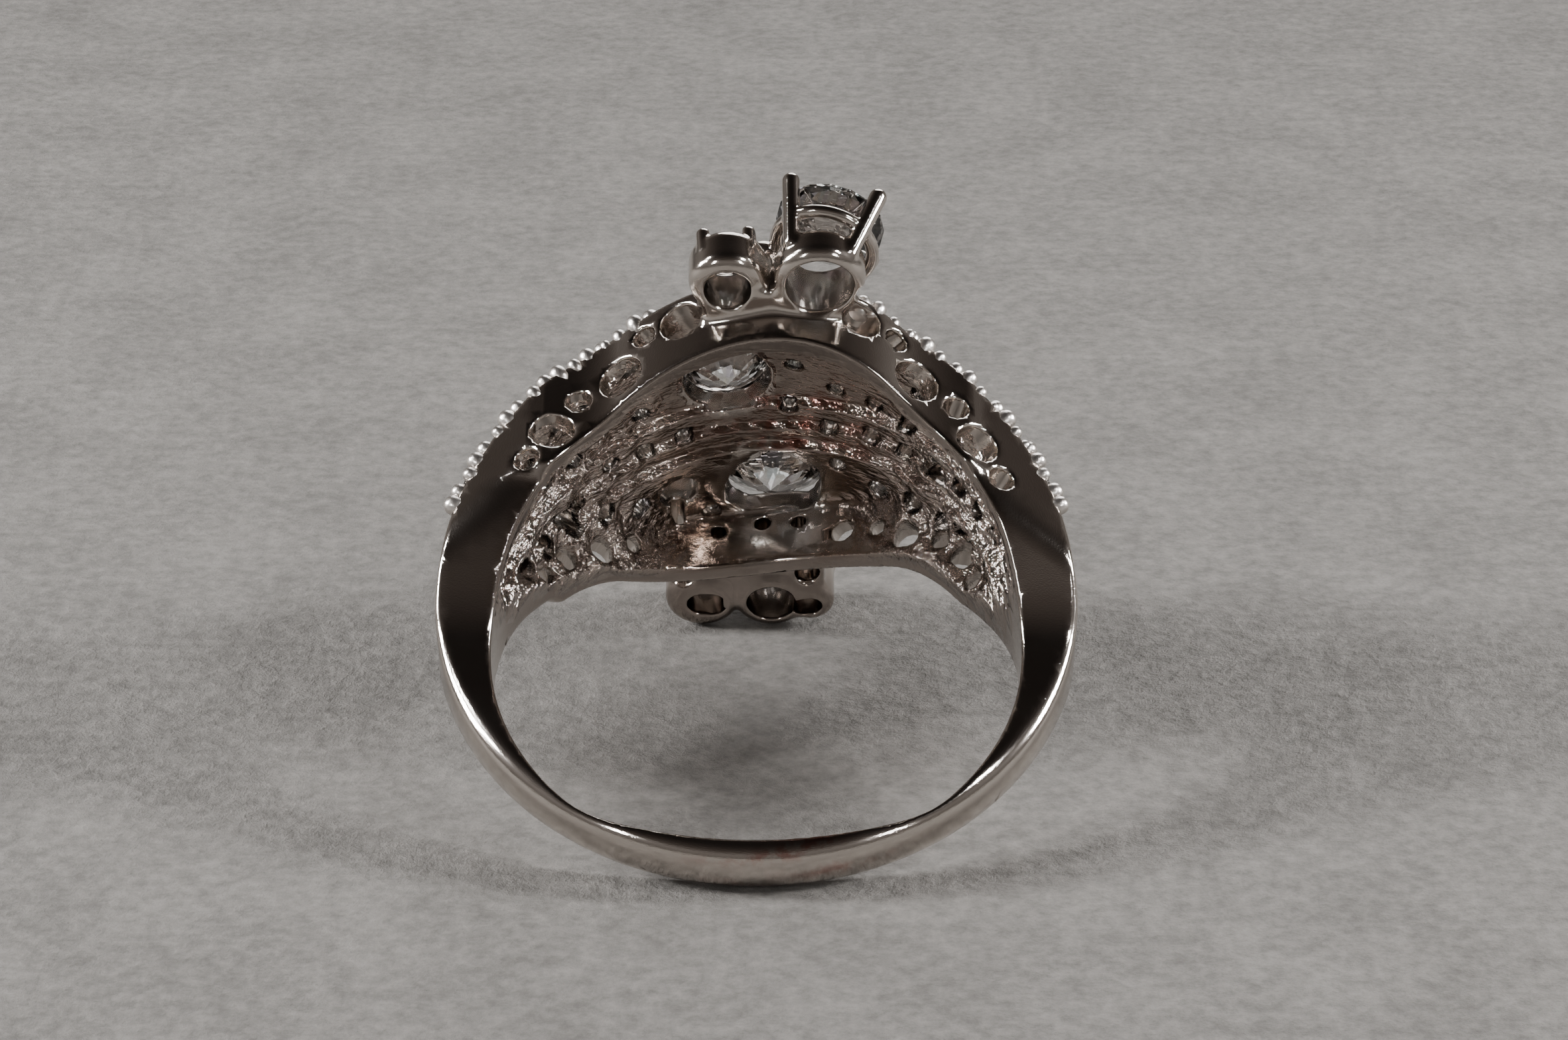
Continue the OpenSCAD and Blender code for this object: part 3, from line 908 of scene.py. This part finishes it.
def placed(spots, sizes, name):
    """Points with an upward axis and a size each, for the stones or beads set on them."""
    mesh = bpy.data.meshes.new(name)
    mesh.from_pydata([spot.place for spot in spots], [], [])
    ups = np.array([spot.w for spot in spots], dtype=np.float32).ravel()
    mesh.attributes.new("up", "FLOAT_VECTOR", "POINT").data.foreach_set("vector", ups)
    mesh.attributes.new("size", "FLOAT", "POINT").data.foreach_set("value", sizes)
    ob = bpy.data.objects.new(name, mesh)
    bpy.context.scene.collection.objects.link(ob)
    return ob


def setting_tree():
    """Geometry nodes that set a copy of one shape on every point, along its axis."""
    tree = bpy.data.node_groups.new("set_on_points", "GeometryNodeTree")
    for name, kind in (("Geometry", "NodeSocketGeometry"), ("Shape", "NodeSocketObject"),
            ("Scale", "NodeSocketFloat"), ("Finish", "NodeSocketMaterial")):
        tree.interface.new_socket(name, in_out="INPUT", socket_type=kind)
    tree.interface.new_socket("Geometry", in_out="OUTPUT", socket_type="NodeSocketGeometry")
    nodes, links = tree.nodes, tree.links
    given, result = nodes.new("NodeGroupInput"), nodes.new("NodeGroupOutput")
    shape = nodes.new("GeometryNodeObjectInfo")
    links.new(given.outputs["Shape"], shape.inputs["Object"])
    up = nodes.new("GeometryNodeInputNamedAttribute")
    up.data_type = "FLOAT_VECTOR"
    up.inputs["Name"].default_value = "up"
    size = nodes.new("GeometryNodeInputNamedAttribute")
    size.data_type = "FLOAT"
    size.inputs["Name"].default_value = "size"
    aim = nodes.new("FunctionNodeAlignRotationToVector")
    aim.axis = "Z"
    links.new(up.outputs["Attribute"], aim.inputs["Vector"])
    scale = nodes.new("ShaderNodeMath")
    scale.operation = "MULTIPLY"
    links.new(size.outputs["Attribute"], scale.inputs[0])
    links.new(given.outputs["Scale"], scale.inputs[1])
    copies = nodes.new("GeometryNodeInstanceOnPoints")
    links.new(given.outputs["Geometry"], copies.inputs["Points"])
    links.new(shape.outputs["Geometry"], copies.inputs["Instance"])
    links.new(aim.outputs["Rotation"], copies.inputs["Rotation"])
    links.new(scale.outputs[0], copies.inputs["Scale"])
    real = nodes.new("GeometryNodeRealizeInstances")
    links.new(copies.outputs["Instances"], real.inputs["Geometry"])
    finish = nodes.new("GeometryNodeSetMaterial")
    links.new(real.outputs["Geometry"], finish.inputs["Geometry"])
    links.new(given.outputs["Finish"], finish.inputs["Material"])
    links.new(finish.outputs["Geometry"], result.inputs["Geometry"])
    return tree


set_on_points = setting_tree()


def set_shapes(name, spots, sizes, shape, finish, scale=1.0):
    """A plain mesh of the shape set on all the spots, laid down with the ring."""
    points = placed(spots, sizes, name + "_points")
    modifier = points.modifiers.new("set", "NODES")
    modifier.node_group = set_on_points
    given = {item.name: item.identifier for item in set_on_points.interface.items_tree
        if item.in_out == "INPUT"}
    modifier[given["Shape"]] = shape
    modifier[given["Scale"]] = scale
    modifier[given["Finish"]] = finish
    depsgraph = bpy.context.evaluated_depsgraph_get()
    mesh = bpy.data.meshes.new_from_object(points.evaluated_get(depsgraph))
    bpy.data.objects.remove(points)
    mesh.name = name
    places = np.empty(3 * len(mesh.vertices))
    mesh.vertices.foreach_get("co", places)
    mesh.vertices.foreach_set("co", laid(places.reshape(-1, 3)).ravel())
    mesh.update()
    ob = bpy.data.objects.new(name, mesh)
    bpy.context.scene.collection.objects.link(ob)
    return ob


def stone_piece(ob, node):
    """A cut stone, or a row of them, which rides in the ring and stands for its solid."""
    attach(ob, "root")
    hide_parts(node)


brilliant = bpy.data.objects.new("brilliant", brilliant_mesh("brilliant"))
for name, spot in main_spots.items():
    stone_piece(set_shapes(name + "_cut", [spot], [PLACES[name][3]], brilliant, glass), name)
for side, name in ((-1, "near_edge_stones"), (1, "far_edge_stones")):
    spots = edge_spots[side]
    stone_piece(set_shapes(name + "_cut", spots, [edge_d] * len(spots), brilliant, glass), name)
stone_piece(set_shapes("dome_stones_cut", dome_spots, [field_d] * len(dome_spots), brilliant,
    glass), "dome_stones")

# Beads and grains
# Small round-topped prongs in pairs along both edges, and grains raised beside the small
# stones, all of the mount's own metal.
bead_sides = 12
bead_rings = 4
bead_foot = 1.6
bead_dark = (0.70, 0.65, 0.61)
bead_light = (0.82, 0.78, 0.745)
bead_depth = 0.012


def bead_mesh(name, foot):
    """A round-topped peg of radius 1, with the middle of its top's ball at the origin."""
    made = bmesh.new()
    profile = [(1, -foot)] + [(math.cos(a), math.sin(a)) for a in
        [k * math.pi / 2 / bead_rings for k in range(bead_rings)]]
    rings = [[made.verts.new((r * math.cos(t), r * math.sin(t), z)) for t in
        [k * 2 * math.pi / bead_sides for k in range(bead_sides)]] for r, z in profile]
    tip = made.verts.new((0, 0, 1))
    for low, high in zip(rings, rings[1:]):
        for k in range(bead_sides):
            after = (k + 1) % bead_sides
            made.faces.new((low[k], low[after], high[after], high[k]))
    for k in range(bead_sides):
        made.faces.new((rings[-1][k], rings[-1][(k + 1) % bead_sides], tip))
    made.faces.new(rings[0][::-1])
    for face in made.faces:
        face.smooth = len(face.verts) < 5
    mesh = bpy.data.meshes.new(name)
    made.to_mesh(mesh)
    return mesh


bead_metal, shader, place = material("bead_gold")
feed(shader, "Base Color", mixed(noise(place, 1.5, 3, 0.6), bead_dark, bead_light))
feed(shader, "Metallic", 1)
feed(shader, "Roughness", 0.24 + 0.12 * noise(place, 2.5, 2, 0.5))
feed(shader, "Normal", place.node("ShaderNodeBump", None,
    {"Height": noise(place, 9, 2, 0.5), "Distance": bead_depth * MM, "Strength": 0.7}))
bead = bpy.data.objects.new("bead", bead_mesh("bead", bead_foot))
chance = np.random.default_rng(4)
peg_r = 0.29
pair_turn = 1.65
pair_in = 0.27
pair_rise = 0.06
single_in = 0.1
single_sink = 0.02
pegs, peg_sizes = [], []
for side in (-1, 1):
    for half in (-1, 1):
        for i in range(edge_count + 1):
            turn = edge_first + (i - 0.5) * edge_step
            y = edge_y(half * turn, side) - side * pair_in
            for pair in (-1, 1):
                pegs.append(on_dome(half * (turn + pair * pair_turn), y, -pair_rise))
                peg_sizes.append(peg_r * chance.uniform(0.95, 1.15))
            if i < edge_count:
                turn += edge_step / 2
                y = edge_y(half * turn, side) - side * single_in
                pegs.append(on_dome(half * turn, y, single_sink))
                peg_sizes.append(peg_r * chance.uniform(0.75, 0.9))
metal_piece(set_shapes("edge_prongs", pegs, peg_sizes, bead, bead_metal))
grain_r = 0.19
grain_out = 0.04
grain_rise = 0.1
grains, grain_sizes = [], []
for spots, d in ((edge_spots[-1], edge_d), (edge_spots[1], edge_d), (dome_spots, field_d)):
    for spot in spots:
        for k in range(4):
            turn = math.pi / 4 + k * math.pi / 2 + chance.uniform(-0.1, 0.1)
            out = d / 2 + grain_out
            place = spot.at(out * math.cos(turn), out * math.sin(turn), grain_rise)
            grains.append(Spot(place, spot.w))
            grain_sizes.append(grain_r * chance.uniform(0.9, 1.1))
metal_piece(set_shapes("stone_grains", grains, grain_sizes, bead, bead_metal))

# Light and floor
# Round soft lamps stand high and low at the left and right and in front, with a wide faint one
# behind the ring, and the studio is dark above. The floor is a plain grey felt.
studio_strength = 0.38
world = bpy.data.worlds.new("studio")
world.use_nodes = True
tree = world.node_tree
sky = Socket(tree, tree.nodes.new("ShaderNodeTexCoord").outputs["Generated"])
height = sky.node("ShaderNodeSeparateXYZ", None, {0: sky}, output=2)
shade = height.node("ShaderNodeValToRGB", {"stops": [
    (0.0, (0.40, 0.37, 0.34)), (0.38, (0.52, 0.48, 0.45)), (0.62, (0.20, 0.17, 0.15)),
    (0.85, (0.08, 0.066, 0.058)), (0.97, (0.035, 0.03, 0.027))]}, {"Fac": height})
tree.links.new(shade.out, tree.nodes["Background"].inputs["Color"])
tree.nodes["Background"].inputs["Strength"].default_value = studio_strength
bpy.context.scene.world = world
LAMPS = {
    # place in millimetres, width, watts
    "left_lamp": ((-210, 5, 205), 32, 0.24),
    "right_lamp": ((190, -90, 215), 32, 0.24),
    "back_lamp": ((40, 265, 150), 200, 0.42),
    "left_side_lamp": ((-225, -40, 150), 24, 0.16),
    "right_side_lamp": ((225, 30, 150), 24, 0.16),
    "front_left_lamp": ((-150, -200, 130), 24, 0.12),
    "front_right_lamp": ((150, -200, 130), 24, 0.12),
    "left_low_lamp": ((-215, 0, 95), 46, 0.9),
    "right_low_lamp": ((215, 0, 95), 46, 0.75)}
lamp_aim = Vector((0, 0, 9)) * MM
for name, (spot, width, watts) in LAMPS.items():
    lamp_data = bpy.data.lights.new(name, "AREA")
    lamp_data.shape = "DISK"
    lamp_data.size = width * MM
    lamp_data.energy = watts
    lamp = bpy.data.objects.new(name, lamp_data)
    bpy.context.scene.collection.objects.link(lamp)
    lamp.location = Vector(spot) * MM
    beam = lamp_aim - lamp.location
    lamp.rotation_euler = beam.to_track_quat("-Z", "Y").to_euler()

felt_dark = (0.115, 0.108, 0.1)
felt_light = (0.235, 0.222, 0.207)
tuft_depth = 0.5
bpy.ops.mesh.primitive_plane_add(size=3)
floor = bpy.context.object
floor.name = "floor"
felt, shader, place = material("floor_felt")
tufts = noise(place, 1.5, 6, 0.72)
fleck = (tufts * 0.75 + noise(place, 0.22, 2, 0.5) * 0.25).between(0.3, 0.72)
feed(shader, "Base Color", mixed(fleck, felt_dark, felt_light))
feed(shader, "Roughness", 0.95)
feed(shader, "Normal", tufts.node("ShaderNodeBump", None,
    {"Height": tufts, "Distance": tuft_depth * MM, "Strength": 0.7}))
floor.data.materials.append(felt)
